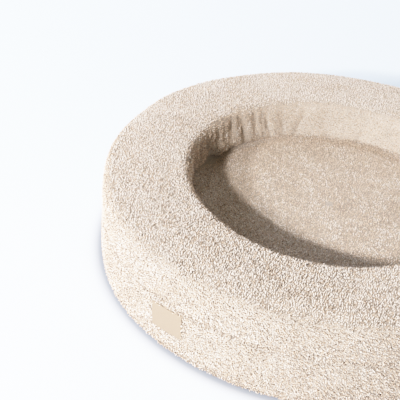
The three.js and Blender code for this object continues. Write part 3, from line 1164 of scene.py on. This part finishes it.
def ribs(material, direction, pitch):
    """Bands across a direction of the piece, 0 between threads and 1 on them. Pitch is in metres."""
    place = new_node(material, "ShaderNodeTexCoord")
    node = new_node(material, "ShaderNodeTexWave", wave_type="BANDS", bands_direction=direction)
    node.inputs["Scale"].default_value = 1 / (pitch * BANDS_IN_A_METRE)
    node.inputs["Distortion"].default_value = THREAD_UNEVENNESS
    node.inputs["Detail"].default_value = 1
    join(material, place.outputs["Object"], node.inputs["Vector"])
    return node.outputs["Fac"]


def make_weave(name, first, second, pitch, shades, roughness):
    """A cloth in plain weave whose threads cross the directions first and second."""
    made = new_material(name, shades[-1][1], roughness)
    crossing = new_node(made, "ShaderNodeMath", operation="MULTIPLY")
    join(made, ribs(made, first, pitch), crossing.inputs[0])
    join(made, ribs(made, second, pitch), crossing.inputs[1])
    join(made, ramp(made, crossing.outputs["Value"], shades), shader_of(made).inputs["Base Color"])
    raise_bumps(made, crossing.outputs["Value"], THREAD_HEIGHT * pitch)
    return made


label_tape = make_weave("label_tape", "X", "Z", TAPE_PITCH, TAPE_SHADES, roughness=0.7)
underside_cloth = make_weave("underside_cloth", "X", "Y", UNDERSIDE_PITCH, UNDERSIDE_SHADES, roughness=0.9)
print(nodes_in(label_tape))
print(nodes_in(underside_cloth))

# %% [markdown]
# ## Dressing the pieces
# Each piece gets its material. The base has two, since its flat underside is plain cloth. It could be cut
# in two pieces for that, but a cushion is one form, so its faces choose by their height instead. Then the
# solids that the pieces take the place of are hidden, and every piece is attached to the bed, so that it
# stays with it.

# %% Dress the pieces
FLAT_UNDERSIDE = 0.5 * MM

for piece in pile_pieces:
    piece.data.materials.append(pile_yarn)
for piece in (ring_cushion, base_cushion):
    piece.data.materials.append(ground_cloth)
base_cushion.data.materials.append(underside_cloth)
for face in base_cushion.data.polygons:
    face.material_index = int(face.center.z < FLAT_UNDERSIDE)
sewn_label.data.materials.append(label_tape)
print(sum(face.material_index for face in base_cushion.data.polygons), "faces of plain cloth under the bed")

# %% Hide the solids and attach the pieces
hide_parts("ring_bolster")
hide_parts("base_cushion")
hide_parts("woven_label")
all_pieces = (ring_cushion, base_cushion, sewn_label, *pile_pieces)
for piece in all_pieces:
    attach(piece, "root")
print(len(all_pieces), "pieces ride on the bed")

# %% [markdown]
# ## Floor and light
# The bed stands on white studio paper. Two strong low lights side by side in front of it give the wall
# its brightness and the well its shadow. Two are used because that shadow has a second, fainter edge.
# Three wider and weaker lights from the left, the right and the back open the shadow a little, and warm
# light from all round fills the rest. The paper's own colour is a little blue, which makes up for the
# warm light.
#
# The paper is darker in a narrow ring under the bed's rounded foot. The lights alone leave that line too
# pale, so the paper's colour is graded there by the distance from the bed's middle.

# %% The floor of paper
PAPER_WIDTH = 30
# Metres from the bed's middle, and the paper's colour there
PAPER_SHADES = [
    (0.321, (0.15, 0.18, 0.23)),
    (0.328, (0.24, 0.27, 0.32)),
    (0.334, (0.45, 0.50, 0.58)),
    (0.342, (0.66, 0.76, 0.90)),
    (0.354, (0.695, 0.835, 1.0)),
]


def make_paper():
    """White studio paper, darker where little light comes in under the bed's round foot."""
    made = new_material("studio_paper", PAPER_SHADES[-1][1], roughness=0.8)
    place = new_node(made, "ShaderNodeTexCoord")
    radius = new_node(made, "ShaderNodeVectorMath", operation="LENGTH")
    join(made, place.outputs["Object"], radius.inputs[0])
    join(made, ramp(made, radius.outputs["Value"], PAPER_SHADES), shader_of(made).inputs["Base Color"])
    return made


def make_floor():
    """A wide pale floor."""
    bpy.ops.mesh.primitive_plane_add(size=PAPER_WIDTH)
    made = bpy.context.object
    made.name = "studio_floor"
    made.data.materials.append(make_paper())
    return made


studio_floor = make_floor()
print("the paper is", round(studio_floor.dimensions.x), "m wide")

# %% Lights
LIGHT_DISTANCE = 3.2
# Degrees, metres and watts: name, azimuth, elevation, width and height, power and colour
LIGHTS = [
    ("key", -80, 25.2, (0.35, 0.12), 322, (1.0, 0.95, 0.935)),
    ("second_key", -97, 23.2, (0.5, 0.12), 291, (1.0, 0.95, 0.935)),
    ("side_fill", -165, 22, (1.6, 1.0), 145, (0.96, 1.03, 1.22)),
    ("right_fill", -15, 20, (1.6, 0.8), 24, (1.0, 0.94, 0.85)),
    ("back_fill", 120, 25, (3.0, 1.2), 130, (1.0, 1.02, 1.08)),
]


def area_light(name, azimuth, elevation, size, power, colour):
    """A soft light that is turned to the middle of the bed."""
    data = bpy.data.lights.new(name, "AREA")
    data.shape = "RECTANGLE"
    data.size, data.size_y = size
    data.energy = power
    data.color = colour
    light = bpy.data.objects.new(name, data)
    bpy.context.scene.collection.objects.link(light)
    rise = math.radians(elevation)
    way = math.radians(azimuth)
    direction = Vector((math.cos(rise) * math.cos(way), math.cos(rise) * math.sin(way), math.sin(rise)))
    light.location = direction * LIGHT_DISTANCE
    light.rotation_euler = direction.to_track_quat("Z", "Y").to_euler()
    return light


lights = [area_light(*row) for row in LIGHTS]
print(len(lights), "lights of", round(sum(light.data.energy for light in lights)), "watts in all")

# %% Warm light from all round
AIR_COLOUR = (1, 0.85, 0.62)
AIR_STRENGTH = 0.385
world = bpy.data.worlds.new("studio_air")
world.use_nodes = True
background = world.node_tree.nodes["Background"]
background.inputs["Color"].default_value = (*AIR_COLOUR, 1)
background.inputs["Strength"].default_value = AIR_STRENGTH
bpy.context.scene.world = world
print("light from all round:", AIR_STRENGTH)

# %% [markdown]
# The photograph holds back its highlights as film does: twice the light is much less than twice as bright
# in it. A curve in the scene's view settings does the same, from the formula of film, 1 - exp(-light).

# %% Hold back the highlights
BRIGHTEST = 4.0
CURVE_LIGHTS = (0.12, 0.3, 0.6, 1.0, 1.5, 2.1, 3.0)


def as_on_film(light):
    """How bright a light shows."""
    return 1 - math.exp(-light)


def hold_back_highlights():
    """A soft shoulder for the whole picture, drawn as a curve up to the brightest light that it keeps."""
    settings = bpy.context.scene.view_settings
    settings.view_transform = "Standard"
    settings.use_curve_mapping = True
    mapping = settings.curve_mapping
    mapping.clip_max_x = BRIGHTEST
    whole_picture = mapping.curves[3]
    whole_picture.points[1].location = (BRIGHTEST, as_on_film(BRIGHTEST))
    for light in CURVE_LIGHTS:
        whole_picture.points.new(light, as_on_film(light))
    mapping.update()


hold_back_highlights()
print("a light of 1 shows as", round(as_on_film(1), 2), "and a light of 2 as", round(as_on_film(2), 2))
